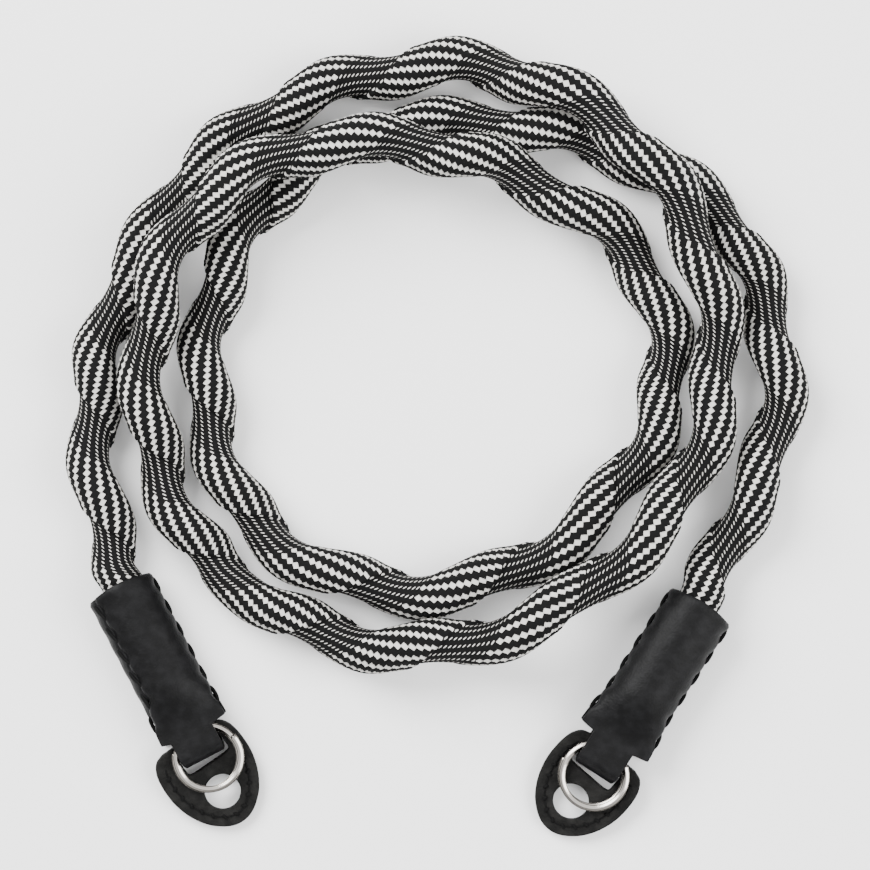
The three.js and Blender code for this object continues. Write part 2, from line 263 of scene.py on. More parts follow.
# The rope's route as it was laid: x, y and the height above where it would rest on the ground,
# a row for each turn of the twist
ROUTE = [
    (-0.0558, -0.0517, 0.0),
    (-0.0600, -0.0437, 0.0),
    (-0.0674, -0.0246, 0.0),
    (-0.0716, 0.0006, 0.0),
    (-0.0680, 0.0237, 0.0),
    (-0.0556, 0.0477, 0.0),
    (-0.0386, 0.0649, 0.0),
    (-0.0147, 0.0752, 0.0),
    (0.0115, 0.0769, 0.0020),
    (0.0353, 0.0661, 0.0095),
    (0.0525, 0.0456, 0.0112),
    (0.0594, 0.0189, 0.0050),
    (0.0542, -0.0073, 0.0052),
    (0.0353, -0.0298, 0.0068),
    (0.0071, -0.0435, 0.0054),
    (-0.0210, -0.0422, 0.0010),
    (-0.0443, -0.0288, 0.0),
    (-0.0569, -0.0084, 0.0020),
    (-0.0601, 0.0174, 0.0070),
    (-0.0525, 0.0424, 0.0108),
    (-0.0323, 0.0580, 0.0124),
    (-0.0055, 0.0607, 0.0120),
    (0.0185, 0.0538, 0.0074),
    (0.0409, 0.0386, 0.0010),
    (0.0491, 0.0158, 0.0),
    (0.0416, -0.0073, 0.0),
    (0.0191, -0.0275, 0.0),
    (-0.0097, -0.0325, 0.0),
    (-0.0353, -0.0206, 0.0),
    (-0.0466, 0.0008, 0.0),
    (-0.0470, 0.0250, 0.0),
    (-0.0374, 0.0468, 0.0),
    (-0.0176, 0.0615, 0.0),
    (0.0086, 0.0653, 0.0),
    (0.0349, 0.0609, 0.0),
    (0.0586, 0.0475, 0.0),
    (0.0697, 0.0273, 0.0),
    (0.0720, 0.0021, 0.0),
    (0.0617, -0.0225, 0.0),
    (0.0510, -0.0438, 0.0),
    (0.0441, -0.0545, 0.0),
]

# The view: the photograph looks straight down and is this wide at the strap
VIEW_WIDTH = 0.1827
CAMERA_HEIGHT = 1.2
CAMERA_X = 0.0002
CAMERA_CLIP_END = 20
SENSOR = 36.0

# The studio's soft light, brighter above than at the horizon, and its floor
SKY_AT_HORIZON = 0.25
SKY_ABOVE = 1.65
SKY_FADE = (0.1, 0.9)
LIGHTS = {  # the place, width and power of each
    "key": ((-0.75, 0.7, 0.95), 1.0, 48),
    "fill": ((0.95, -0.2, 0.85), 1.1, 24),
}
FLOOR_REACH = 3.0
FLOOR_WHITE = 0.95
FLOOR_ROUGHNESS = 0.9
FLOOR_GLOSS = 0.1


def smooth(share):
    """A share eased at both ends."""
    share = np.clip(share, 0, 1)
    return share * share * (3 - 2 * share)


def mix(a, b, share):
    """The value at a share of the way from a to b."""
    return a + (b - a) * share


def mesh_object(name, points, quads, material, uv=None):
    """An object from arrays of points and quads, with optional UV layers for the quads' corners."""
    quads = np.asarray(quads, dtype=np.int32)
    mesh = bpy.data.meshes.new(name)
    mesh.vertices.add(len(points))
    mesh.vertices.foreach_set("co", np.asarray(points, dtype=np.float32).ravel())
    mesh.loops.add(quads.size)
    mesh.loops.foreach_set("vertex_index", quads.ravel())
    mesh.polygons.add(len(quads))
    mesh.polygons.foreach_set("loop_start", np.arange(len(quads), dtype=np.int32) * 4)
    mesh.polygons.foreach_set("loop_total", np.full(len(quads), 4, dtype=np.int32))
    for layer, values in (uv or {}).items():
        data = mesh.uv_layers.new(name=layer).data
        data.foreach_set("uv", np.asarray(values, dtype=np.float32).ravel())
    mesh.update(calc_edges=True)
    mesh.validate()
    mesh.shade_smooth()
    obj = bpy.data.objects.new(name, mesh)
    bpy.context.scene.collection.objects.link(obj)
    mesh.materials.append(material)
    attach(obj, "root")
    return obj


def grid_quads(rings, count):
    """Quads between rings of points, each ring with this many points."""
    r, k = np.meshgrid(np.arange(rings - 1), np.arange(count), indexing="ij")
    near = r * count
    far = near + count
    k2 = (k + 1) % count
    return np.stack([near + k, near + k2, far + k2, far + k], axis=-1).reshape(-1, 4)


def capped(quads, rings, count, spare=0):
    """The quads with a cap over each open end, whose rings run out and back.

    Spare points lie between the two runs.
    """
    back = count - 1 - spare
    near = np.arange(count // 2 - 1 - spare)
    cap = np.stack([near, near + 1, back - near - 1, back - near], axis=-1)
    return np.vstack([quads, cap[:, ::-1], cap + (rings - 1) * count])


def curve_point(before, a, b, after, s):
    """A point of a smooth curve at share s from a to b, between the points before and after."""
    point = (-0.5 * s + s**2 - 0.5 * s**3) * before
    point = point + (1 - 2.5 * s**2 + 1.5 * s**3) * a
    point = point + (0.5 * s + 2 * s**2 - 1.5 * s**3) * b
    return point + (-0.5 * s**2 + 0.5 * s**3) * after


def extended(points):
    """The points with one more at each end, straight on."""
    return np.vstack([2 * points[0] - points[1], points, 2 * points[-1] - points[-2]])


def outward(points, quads):
    """The quads, turned over if they enclose a negative volume."""
    p = points[quads]
    volume = np.einsum("ij,ij->i", p[:, 0], np.cross(p[:, 1], p[:, 2])).sum()
    volume += np.einsum("ij,ij->i", p[:, 0], np.cross(p[:, 2], p[:, 3])).sum()
    return quads if volume > 0 else quads[:, ::-1]


# Materials


class Nodes:
    """A material's shader nodes, with short calls for its sums."""

    def __init__(self, name):
        self.material = bpy.data.materials.new(name)
        self.material.use_nodes = True
        self.tree = self.material.node_tree
        self.shader = self.tree.nodes["Principled BSDF"]

    def add(self, kind, **settings):
        node = self.tree.nodes.new(kind)
        for key, value in settings.items():
            setattr(node, key, value)
        return node

    def link(self, source, target):
        self.tree.links.new(source, target)

    def sum(self, operation, *values):
        node = self.add("ShaderNodeMath", operation=operation)
        for socket, value in zip(node.inputs, values):
            if isinstance(value, (int, float)):
                socket.default_value = value
            else:
                self.link(value, socket)
        return node.outputs[0]

    def uv(self, layer):
        split = self.add("ShaderNodeSeparateXYZ")
        self.link(self.add("ShaderNodeUVMap", uv_map=layer).outputs[0], split.inputs[0])
        return split.outputs[0], split.outputs[1]

    def ramp(self, value, low, high):
        node = self.add("ShaderNodeMapRange", interpolation_type="SMOOTHSTEP")
        self.link(value, node.inputs["Value"])
        node.inputs["From Min"].default_value = low
        node.inputs["From Max"].default_value = high
        return node.outputs[0]

    def colour(self, share, dark, light):
        node = self.add("ShaderNodeMix", data_type="RGBA")
        self.link(share, node.inputs["Factor"])
        node.inputs["A"].default_value = (*dark, 1)
        node.inputs["B"].default_value = (*light, 1)
        self.link(node.outputs["Result"], self.shader.inputs["Base Color"])

    def noise(self, scale, detail=2.0):
        node = self.add("ShaderNodeTexNoise")
        node.inputs["Scale"].default_value = scale
        node.inputs["Detail"].default_value = detail
        self.link(self.add("ShaderNodeTexCoord").outputs["Object"], node.inputs["Vector"])
        return node.outputs["Fac"]

    def bump(self, height, distance, strength=1.0):
        node = self.add("ShaderNodeBump")
        node.inputs["Strength"].default_value = strength
        node.inputs["Distance"].default_value = distance
        self.link(height, node.inputs["Height"])
        self.link(node.outputs[0], self.shader.inputs["Normal"])

    def set(self, **values):
        for key, value in values.items():
            self.shader.inputs[key.replace("_", " ")].default_value = value


def braid_material():
    """White stitches in columns on black: full diamonds outside the twist, thin dashes inside."""
    n = Nodes("braid")
    u, v = n.uv("braid")
    tight, lean = n.uv("zone")
    x = n.sum("SUBTRACT", n.sum("FRACT", u), 0.5)
    y = n.sum("SUBTRACT", n.sum("FRACT", n.sum("ADD", v, n.sum("MULTIPLY", x, lean))), 0.5)
    across = n.sum("ABSOLUTE", x)
    along = n.sum("ABSOLUTE", y)
    wobble = n.sum("MULTIPLY", n.sum("SUBTRACT", n.noise(WOBBLE_SCALE), 0.5), EDGE_WOBBLE)
    width = n.sum("SUBTRACT", DIAMOND_HALF, n.sum("MULTIPLY", along, DIAMOND_SLOPE))
    inside = n.sum("ADD", n.sum("SUBTRACT", width, across), wobble)
    full = n.ramp(inside, *DIAMOND_EDGE)
    slant = n.sum("ABSOLUTE", n.sum("SUBTRACT", x, n.sum("MULTIPLY", y, DASH_LEAN)))
    narrowing = n.sum("MULTIPLY", n.sum("POWER", along, DASH_POWER), DASH_ROUNDING)
    dash_width = n.sum("SUBTRACT", DASH_HALF, narrowing)
    dash_inside = n.sum("ADD", n.sum("SUBTRACT", dash_width, slant), wobble)
    dash = n.ramp(dash_inside, *DASH_EDGE)
    loose = n.sum("SUBTRACT", 1.0, tight)
    mask = n.sum("ADD", n.sum("MULTIPLY", full, loose), n.sum("MULTIPLY", dash, tight))
    n.colour(mask, BRAID_BLACK, BRAID_WHITE)
    dome = n.ramp(n.sum("ABSOLUTE", inside), 0.0, DOME_WIDTH)
    yarn = n.sum("ADD", u, n.sum("MULTIPLY", v, YARN_LEAN))
    yarns = n.sum("SINE", n.sum("MULTIPLY", yarn, YARN_LINES))
    height = n.sum("ADD", n.sum("MULTIPLY", dome, loose), n.sum("MULTIPLY", dash, tight))
    height = n.sum("ADD", height, n.sum("MULTIPLY", yarns, YARN_RELIEF))
    n.bump(height, BRAID_BUMP, BRAID_BUMP_STRENGTH)
    n.set(Roughness=TEXTILE_ROUGHNESS, Specular_IOR_Level=TEXTILE_GLOSS)
    return n.material


def leather_material(name, colour, roughness, grain):
    """Matt black leather, lighter along its creases, with this depth of grain."""
    n = Nodes(name)
    pores = n.noise(PORE_SCALE, PORE_DETAIL)
    creases = n.noise(CREASE_SCALE, CREASE_DETAIL)
    pore_depth = n.sum("MULTIPLY", pores, PORE_SHARE)
    height = n.sum("ADD", pore_depth, n.sum("MULTIPLY", creases, CREASE_SHARE))
    light = tuple(c * CREASE_LIGHTER for c in colour)
    n.colour(n.ramp(creases, *CREASE_TONES), colour, light)
    n.bump(height, grain, LEATHER_BUMP_STRENGTH)
    n.set(Roughness=roughness, Specular_IOR_Level=LEATHER_GLOSS)
    return n.material


def thread_material():
    n = Nodes("thread")
    n.colour(n.noise(THREAD_TONE_SCALE), THREAD_BLACK, THREAD_LIGHTER)
    n.bump(n.noise(THREAD_GRAIN_SCALE), THREAD_GRAIN)
    n.set(Roughness=TEXTILE_ROUGHNESS, Specular_IOR_Level=TEXTILE_GLOSS)
    return n.material


def steel_material():
    """Polished nickel with a painted reflection of the black leather: darker on the wire's sides,
    which face it.
    """
    n = Nodes("nickel_steel")
    facing = n.add("ShaderNodeSeparateXYZ")
    n.link(n.add("ShaderNodeNewGeometry").outputs["Normal"], facing.inputs[0])
    upward = n.sum("ABSOLUTE", facing.outputs["Z"])
    # Painted reflection: the colour darkens where the wire's face turns sideways, towards the black
    # leather
    n.colour(n.ramp(upward, *STEEL_PAINTED_REFLECTION_FADE), STEEL_PAINTED_SIDE_REFLECTION, STEEL_TOP)
    n.bump(n.noise(STEEL_GRAIN_SCALE), STEEL_GRAIN)
    n.set(Roughness=STEEL_ROUGHNESS, Metallic=1.0)
    return n.material


# The rope

route_points = np.array([(x, y, lift + ROPE_RADIUS + TWIST_RADIUS) for x, y, lift in ROUTE])
last_row = len(route_points) - 1
extended_route = extended(route_points)


def route(t):
    """Points of the rope's middle line at row numbers t."""
    t = np.clip(t, 0, last_row)
    row = np.minimum(t.astype(int), last_row - 1)
    s = (t - row)[..., None]
    return curve_point(*(extended_route[row + k] for k in range(4)), s)


def above_ground(points):
    """The points, with none below the ground."""
    points[..., 2] = np.maximum(points[..., 2], GROUND_GAP)
    return points


def rope_line(t):
    """The middle line at t, its right and up directions, and how much a sleeve grips it."""
    middle = route(t)
    tangent = route(t + TANGENT_STEP) - route(t - TANGENT_STEP)
    tangent /= np.linalg.norm(tangent, axis=-1, keepdims=True)
    right = np.cross(tangent, [0.0, 0.0, 1.0])
    right /= np.linalg.norm(right, axis=-1, keepdims=True)
    up = np.cross(right, tangent)
    to_end = np.minimum(
        np.linalg.norm(middle - route_points[0], axis=-1),
        np.linalg.norm(middle - route_points[-1], axis=-1),
    )
    held = 1 - smooth((to_end - ROPE_SEAT) / SEAT_EASE)
    middle[..., 2] = mix(middle[..., 2], SLEEVE_HALF_HEIGHT, held)
    return middle, right, up, held


def stitch_shift(around):
    """How many stitches a row runs ahead of the mean at an angle from the outside of the twist."""
    full = math.pi * FULL_SHARE
    slope = (STITCHES_PER_TURN - FULL_STITCHES / FULL_SHARE) / (2 * math.pi)
    size = np.abs(around)
    shift = np.where(size < full, slope * size, slope * full * (math.pi - size) / (math.pi - full))
    return np.sign(around) * shift


def rope_angles(theta, t):
    """Angle on the rope of the yarn at theta, and its angle from the outside of the twist."""
    outside = 2 * math.pi * t - math.pi / 2
    theta = theta - 2 * math.pi * t / COLUMNS
    angle = theta + COLUMN_CROWDING * np.sin(theta - outside)
    around = (angle - outside + math.pi) % (2 * math.pi) - math.pi
    return angle, around


def build_rope_piece(number, material):
    """One stretch of the rope, with every stitch modelled."""
    count = COLUMNS * STEPS_PER_COLUMN
    total = STITCHES_PER_TURN * last_row
    edges = np.linspace(HIDDEN_STITCHES, total - HIDDEN_STITCHES, ROPE_PIECES + 1).astype(int)
    first, last = edges[number], edges[number + 1]
    steps = (last - first) * STEPS_PER_STITCH
    i, j = np.meshgrid(np.arange(steps + 1), np.arange(count), indexing="ij")
    stitch = first + i / STEPS_PER_STITCH
    theta = 2 * math.pi * j / count
    t = stitch / STITCHES_PER_TURN
    for _ in range(LAY_ROUNDS):
        angle, around = rope_angles(theta, t)
        t = (stitch - stitch_shift(around)) / STITCHES_PER_TURN
    middle, right, up, held = rope_line(t)
    across = np.abs((j % STEPS_PER_COLUMN) / STEPS_PER_COLUMN - 0.5)
    y = (i % STEPS_PER_STITCH) / STEPS_PER_STITCH
    width = STITCH_ENDS + STITCH_SWELL * (1 - np.abs(2 * y - 1))
    dome = smooth(np.abs(across - width) / STITCH_EDGE)
    entering = smooth((around / math.pi - FULL_SHARE) / LEDGE_STEP)
    leaving = smooth((-around / math.pi - FULL_SHARE) / FULL_FADE)
    tight = np.maximum(entering, leaving)
    radius = mix(ROPE_RADIUS, SEAT_RADIUS, held)
    radius = radius + STITCH_RELIEF * (dome - 0.5) * (1 - RELIEF_LOST * tight)
    past_ledge = (around / math.pi - FULL_SHARE) % 2 / (2 - 2 * FULL_SHARE)
    radius = radius - PINCH * tight * (1 - PINCH_FADE * np.clip(past_ledge, 0, 1)) * (1 - held)
    near_ledge = smooth((around / math.pi - FULL_SHARE) / LEDGE_WIDTH + 1)
    radius = radius + LEDGE * near_ledge * (1 - tight) * (1 - held)
    twist = (TWIST_RADIUS * (1 - held))[..., None]
    phase = (2 * math.pi * t)[..., None]
    middle = middle + twist * (np.sin(phase) * right - np.cos(phase) * up)
    out = np.cos(angle)[..., None] * right + np.sin(angle)[..., None] * up
    points = above_ground(middle + radius[..., None] * out)

    ci, cj = np.meshgrid(np.arange(steps), np.arange(count), indexing="ij")
    cell_stitch = first + np.floor(ci / STEPS_PER_STITCH) + 0.5
    cell_theta = 2 * math.pi * (np.floor(cj / STEPS_PER_COLUMN) + 0.5) / COLUMNS
    cell_t = cell_stitch / STITCHES_PER_TURN
    for _ in range(LAY_ROUNDS):
        _, cell_around = rope_angles(cell_theta, cell_t)
        cell_t = (cell_stitch - stitch_shift(cell_around)) / STITCHES_PER_TURN
    zone = (np.abs(cell_around) > math.pi * FULL_SHARE).astype(float)
    lean = STITCH_LEAN * cell_around / (math.pi * FULL_SHARE) * (1 - zone)
    zones = np.stack([zone, lean], axis=-1).reshape(-1, 1, 2).repeat(4, axis=1)
    quads = grid_quads(steps + 1, count)
    u = np.stack([cj, cj + 1, cj + 1, cj], axis=-1).reshape(-1, 4) / STEPS_PER_COLUMN
    v = np.stack([ci, ci, ci + 1, ci + 1], axis=-1).reshape(-1, 4) / STEPS_PER_STITCH
    layers = {"braid": np.stack([u, v], axis=-1), "zone": zones}
    obj = mesh_object(f"rope_{number + 1}", points.reshape(-1, 3), quads, material, uv=layers)
    rows = np.linspace(first, last, PATH_POINTS) / STITCHES_PER_TURN
    path = rope_line(rows)[0]
    length = float(np.linalg.norm(np.diff(path, axis=0), axis=1).sum())
    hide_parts("rope")


# The ends


def layout(end):
    """Places along one end's own axis, from the mouth of its sleeve."""
    shoulder = ROPE_SEAT + BARREL_TAPER
    fold_end = shoulder + end["tab"]
    fold_start = fold_end - FOLD_REACH
    swing = (TAB_HALF + abs(end["tab_shift"])) * math.tan(math.radians(abs(end["turn"])))
    slot_start = fold_start - swing - FIT_GAP
    slot_end = fold_end + swing + FIT_GAP
    pad_start = fold_end - PAD_BEFORE_FOLD
    slope = (LEATHER + FIT_GAP) / (pad_start + PAD_LENGTH - slot_end)
    ring_at = fold_end + end["ring_past"]
    ring_near = ring_at - RING_RADIUS
    tilt = math.hypot(1, slope)
    ring_height = 2 * RING_WIRE_HEIGHT + RING_COIL_GAP
    stack = (PAD_THICKNESS + FIT_GAP + ring_height) * tilt
    top = slope * (pad_start + PAD_LENGTH - ring_near) + stack + FIT_GAP + LEATHER
    return {
        "shoulder": shoulder,
        "fold_end": fold_end,
        "fold_start": fold_start,
        "slot_start": slot_start,
        "slot_end": slot_end,
        "pad_start": pad_start,
        "slope": slope,
        "pivot": (slot_start + slot_end) / 2,
        "ring_at": ring_at,
        "top": top,
    }


def end_matrix(end):
    """From the frame of an end, x along its sleeve, to the part's frame."""
    tip = route_points[0 if end["first"] else -1]
    before = route_points[1 if end["first"] else -2]
    along = (tip - before) * [1, 1, 0]
    along /= np.linalg.norm(along)
    place = tip * [1, 1, 0] - along * ROPE_SEAT
    turn = math.atan2(along[1], along[0])
    return Matrix.Translation(Vector(place)) @ Matrix.Rotation(turn, 4, "Z")


def pad_matrix(end, places):
    """From the frame of the leaning pad, x from its slot to its tip, to the part's frame."""
    lift = places["slope"] * (places["pad_start"] + PAD_LENGTH - places["pivot"])
    move = Matrix.Translation((places["pivot"], 0, 0))
    turn = Matrix.Rotation(math.radians(end["turn"]), 4, "Z")
    lean = Matrix.Translation((0, 0, lift)) @ Matrix.Rotation(math.atan(places["slope"]), 4, "Y")
    return end_matrix(end) @ move @ turn @ lean


def placed(points, matrix):
    """Points moved by a matrix."""
    points = np.asarray(points, dtype=float).reshape(-1, 3)
    turned = points @ np.array(matrix.to_3x3()).T
    return turned + np.array(matrix.translation)


def seam_notch(x, first, last):
    """How tightly the nearest seam stitch pulls at x, from 0 to 1."""
    offset = (x - first) / SEAM_PITCH
    near = np.abs(offset - np.round(offset)) * SEAM_PITCH
    pull = np.exp(-((near / SEAM_PULL_REACH) ** 2))
    return np.where((x > first - SEAM_PULL_BEFORE) & (x < last), pull, 0.0)


def strip_row(x, places, end, side):
    """Points across one layer of the sleeve's strip at x, on its outer and on its inner face.

    Side is 1 for the upper layer and -1 for the lower one.
    """
    taper = smooth((x - ROPE_SEAT) / BARREL_TAPER)
    held = 1 - taper
    past = smooth((x - places["shoulder"]) / SHOULDER)
    half = mix(SLEEVE_HALF_WIDTH + end["spread"] * taper, TAB_HALF, past)
    aside = end["tab_shift"] * past
    level = places["top"] if side > 0 else 0.0
    edge = mix(level, SLEEVE_HALF_HEIGHT, held)
    crown = mix(level, 2 * SLEEVE_HALF_HEIGHT if side > 0 else 0.0, held)
    share = np.linspace(0, 1, STRIP_STEPS + 1)
    start, finish = seam_angles(end, held)
    angle = mix(start, finish if side > 0 else finish - 2 * math.pi, share)
    c = np.cos(angle)
    s = np.sin(angle) * side
    beside = np.abs(np.cos(share * math.pi)) ** SEAM_NEARNESS
    groove = SEAM_GROOVE * held * np.exp(-((np.minimum(share, 1 - share) / SEAM_GROOVE_SHARE) ** 2))
    pulled = seam_notch(np.array(x), SEAM_FIRST, places["shoulder"] - SEAM_TO_SHOULDER)
    ridge = beside * (SEAM_RIDGE * held - SEAM_PULL * pulled) - groove
    wave = np.sin(x * WAVES_ALONG[0] + WAVES_ROUND[0] * share)
    wave = wave * np.cos(share * WAVES_ROUND[1] + x * WAVES_ALONG[1])
    swell = SLEEVE_WAVE * wave * held * (1 - beside)
    outer_half = half + ridge
    bulge = MOUTH_BULGE * np.abs(np.sin(angle)) ** 2 * max(0.0, 1 - x / MOUTH_BULGE_REACH)
    along = x - bulge
    height = mix(edge, crown, s) + side * (swell + ridge * np.abs(s) * held)
    outer = np.stack([along, aside + outer_half * c, height], -1)
    inner_edge = edge - side * LEATHER * taper
    inner_half = half - LEATHER * held
    inner_height = mix(inner_edge, crown - side * LEATHER, s)
    inner = np.stack([along, aside + inner_half * c, inner_height], -1)
    if side < 0:
        outer[:, 2] = np.maximum(outer[:, 2], 0.0)
    return outer, inner


def seam_angles(end, held):
    """Where a sleeve's two seams lie round it; they come level where the sleeve is flat."""
    start, finish = (math.radians(angle) for angle in end["seams"])
    return start * held, mix(math.pi, finish, held)


def rounded_wall(outer, inner):
    """A closed row of points round a wall's section, with its two ends rounded."""
    start = mix(outer[0], inner[0], 0.5) + (outer[0] - outer[1]) * WALL_ROUNDING
    finish = mix(outer[-1], inner[-1], 0.5) + (outer[-1] - outer[-2]) * WALL_ROUNDING
    return np.vstack([outer, finish[None], inner[::-1], start[None]])


def wall_row(x, places, end, side):
    """A closed row of points round one layer of the strip at x, which is thinner at the mouth."""
    outer, inner = strip_row(x, places, end, side)
    if x < MOUTH_ROUNDING:
        pull = MOUTH_THINNING * (1 - x / MOUTH_ROUNDING)
        outer, inner = mix(outer, inner, pull), mix(inner, outer, pull)
    return rounded_wall(outer, inner)


def build_sleeve(end, material):
    """One strip of leather: the sleeve's upper half, the folded tab, the sleeve's lower half."""
    places = layout(end)
    shoulder = places["shoulder"]
    tab_start = shoulder + SHOULDER
    stations = np.concatenate(
        [
            MOUTH_STATIONS,
            np.linspace(BARREL_START, shoulder - 2 * STATION_GAP, BARREL_STATIONS),
            np.linspace(shoulder - STATION_GAP, tab_start, SHOULDER_STATIONS),
            np.linspace(tab_start + 2 * STATION_GAP, places["fold_start"], TAB_STATIONS),
        ]
    )
    rows = [wall_row(x, places, end, 1) for x in stations]
    middle = places["top"] / 2
    for angle in np.linspace(math.pi / 2, -math.pi / 2, FOLD_STATIONS)[1:-1]:
        outer, inner = strip_row(places["fold_start"], places, end, 1)
        for points, depth in ((outer, 0.0), (inner, LEATHER)):
            points[:, 0] = places["fold_start"] + (FOLD_REACH - depth) * math.cos(angle)
            points[:, 2] = middle + (middle - depth) * math.sin(angle)
            rounding = 1 - FOLD_ROUNDING * math.cos(angle) ** 4
            points[:, 1] = end["tab_shift"] + rounding * (points[:, 1] - end["tab_shift"])
        rows.append(rounded_wall(outer, inner))
    rows += [wall_row(x, places, end, -1) for x in stations[::-1]]
    rings = np.array(rows)
    count = rings.shape[1]
    points = placed(rings, end_matrix(end))
    quads = capped(grid_quads(len(rings), count), len(rings), count, spare=1)
    obj = mesh_object(f"{end['name']}_sleeve_leather", points, outward(points, quads), material)
    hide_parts(f"{end['name']}_sleeve")
    return places


def tube(path, radius, sides):
    """Points and quads of a tube along a path, tapered at both ends."""
    path = np.asarray(path, dtype=float)
    tangent = np.gradient(path, axis=0)
    tangent /= np.linalg.norm(tangent, axis=1, keepdims=True)
    side = np.cross(tangent, OFF_THREAD)
    side /= np.linalg.norm(side, axis=1, keepdims=True)
    other = np.cross(tangent, side)
    angle = 2 * math.pi * np.arange(sides) / sides
    size = np.full(len(path), radius)
    size[0] = size[-1] = radius * THREAD_TIP
    size[1] = size[-2] = radius * THREAD_NEAR_TIP
    c = np.cos(angle)[None, :, None]
    s = np.sin(angle)[None, :, None]
    ring = c * side[:, None] + s * other[:, None]
    points = path[:, None] + size[:, None, None] * ring
    return points.reshape(-1, 3), grid_quads(len(path), sides)


def joined(parts):
    """One set of points and quads from several."""
    points = []
    quads = []
    start = 0
    for p, q in parts:
        points.append(p)
        quads.append(q + start)
        start += len(p)
    return np.vstack(points), np.vstack(quads)


def build_seams(end, places, material):
    """Whip stitches over both seams of a sleeve."""
    parts = []
    number = int((places["shoulder"] - SEAM_TO_SHOULDER - SEAM_FIRST) / SEAM_PITCH) + 1
    for seam in range(2):
        for k in range(number):
            middle = SEAM_FIRST + k * SEAM_PITCH
            path = []
            for share in np.linspace(-1, 1, STITCH_STEPS):
                x = middle + share * STITCH_REACH
                held = 1 - smooth((x - ROPE_SEAT) / BARREL_TAPER)
                seam_angle = seam_angles(end, held)[seam]
                swing = mix(STITCH_SWING, STITCH_SWING_ON_TOP, abs(math.sin(seam_angle)))
                angle = seam_angle + swing * share * (1 if seam == 0 else -1)
                height = mix(places["top"] / 2, SLEEVE_HALF_HEIGHT, held)
                taper = 1 - held
                half = SLEEVE_HALF_WIDTH + end["spread"] * taper + STITCH_STANDS_OUT
                sunk = 1 - STITCH_SINKS * abs(share) ** 4
                z = height + sunk * height * math.sin(angle)
                path.append((x, sunk * half * math.cos(angle), z))
            parts.append(tube(path, SEAM_THREAD, SEAM_THREAD_SIDES))
    points, quads = joined(parts)
    points = above_ground(placed(points, end_matrix(end)))
    obj = mesh_object(f"{end['name']}_sleeve_thread", points, quads, material)


def ring_section():
    """The wire's section: an oval with fine grooves along its upper and lower face."""
    w = RING_WIRE_WIDTH / 2
    h = RING_WIRE_HEIGHT / 2
    angle = 2 * math.pi * (np.arange(RING_SIDES) + 0.5) / RING_SIDES
    c = np.cos(angle)
    s = np.sin(angle)
    x = w * c
    groove = RING_GROOVE * np.cos(x / w * math.pi * RING_LINES) * np.abs(s) ** 2
    z = h * s - np.sign(s) * (RING_GROOVE - groove)
    return np.stack([x, z], -1)


def build_ring(end, places, material):
    """A split ring: wire that climbs from its lower coil to its upper one, with free ends."""
    middle = RING_RADIUS - RING_WIRE_WIDTH / 2
    section = ring_section()
    turn_to = math.radians(end["ring_end"]) - RING_TURNS * math.pi
    rows = []
    for i in range(RING_STEPS + 1):
        turn = (i / RING_STEPS - 0.5) * RING_TURNS
        climb = smooth(turn / RING_CROSSING + 0.5)
        height = RING_WIRE_HEIGHT / 2 + climb * (RING_WIRE_HEIGHT + RING_COIL_GAP)
        size = 1.0 if 0 < i < RING_STEPS else RING_TIP
        angle = 2 * math.pi * turn
        reach = middle + size * section[:, 0]
        aside = RING_COIL_OFFSET * (1 - climb)
        x = reach * math.cos(angle) - aside * math.sin(turn_to)
        y = reach * math.sin(angle) - aside * math.cos(turn_to)
        rows.append(np.stack([x, y, height + size * section[:, 1]], -1))
    rings = np.array(rows)
    count = rings.shape[1]
    quads = capped(grid_quads(len(rings), count), len(rings), count)
    place = Matrix.Translation(
        (places["ring_at"] - places["pivot"], end["ring_shift"], PAD_THICKNESS + FIT_GAP)
    )
    place = pad_matrix(end, places) @ place @ Matrix.Rotation(turn_to, 4, "Z")
    points = placed(rings, place)
    obj = mesh_object(f"{end['name']}_ring_wire", points, outward(points, quads), material)
    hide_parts(f"{end['name']}_ring")


def spline(points, steps):
    """A smooth curve through points, each stretch evenly divided."""
    points = np.asarray(points, dtype=float)
    longer = extended(points)
    t = np.linspace(0, len(points) - 1, steps)
    row = np.minimum(t.astype(int), len(points) - 2)
    s = (t - row)[:, None]
    return curve_point(*(longer[row + k] for k in range(4)), s)


def pad_outline(steps):
    """The pad's rim, from its slot end along one side to the tip and back along the other."""
    half = [(a * PAD_LENGTH, b * PAD_HALF_WIDTH) for a, b in PAD_OUTLINE]
    mirrored = [(x, -y) for x, y in half[-2::-1]]
    return spline(half + mirrored, steps)


def opening(centre, half_length, half_width, power, steps):
    """A closed loop between an ellipse, at power 2, and a rectangle, at a high power."""
    angle = 2 * math.pi * np.arange(steps) / steps
    c = np.cos(angle)
    s = np.sin(angle)
    x = np.sign(c) * np.abs(c) ** (2 / power)
    y = np.sign(s) * np.abs(s) ** (2 / power)
    return np.stack([centre[0] + half_length * x, centre[1] + half_width * y], axis=-1)


def curve_2d(name, loops, extrude, bevel):
    """A filled flat curve from closed loops, with depth and a rounded rim."""
    data = bpy.data.curves.new(name, "CURVE")
    data.dimensions = "2D"
    data.fill_mode = "BOTH"
    for loop in loops:
        poly = data.splines.new("POLY")
        poly.points.add(len(loop) - 1)
        points = np.column_stack([loop, np.zeros(len(loop)), np.ones(len(loop))])
        poly.points.foreach_set("co", points.ravel())
        poly.use_cyclic_u = True
    data.extrude = extrude
    data.bevel_depth = bevel
    data.bevel_resolution = PAD_BEVEL_STEPS
    data.offset = -bevel
    return data


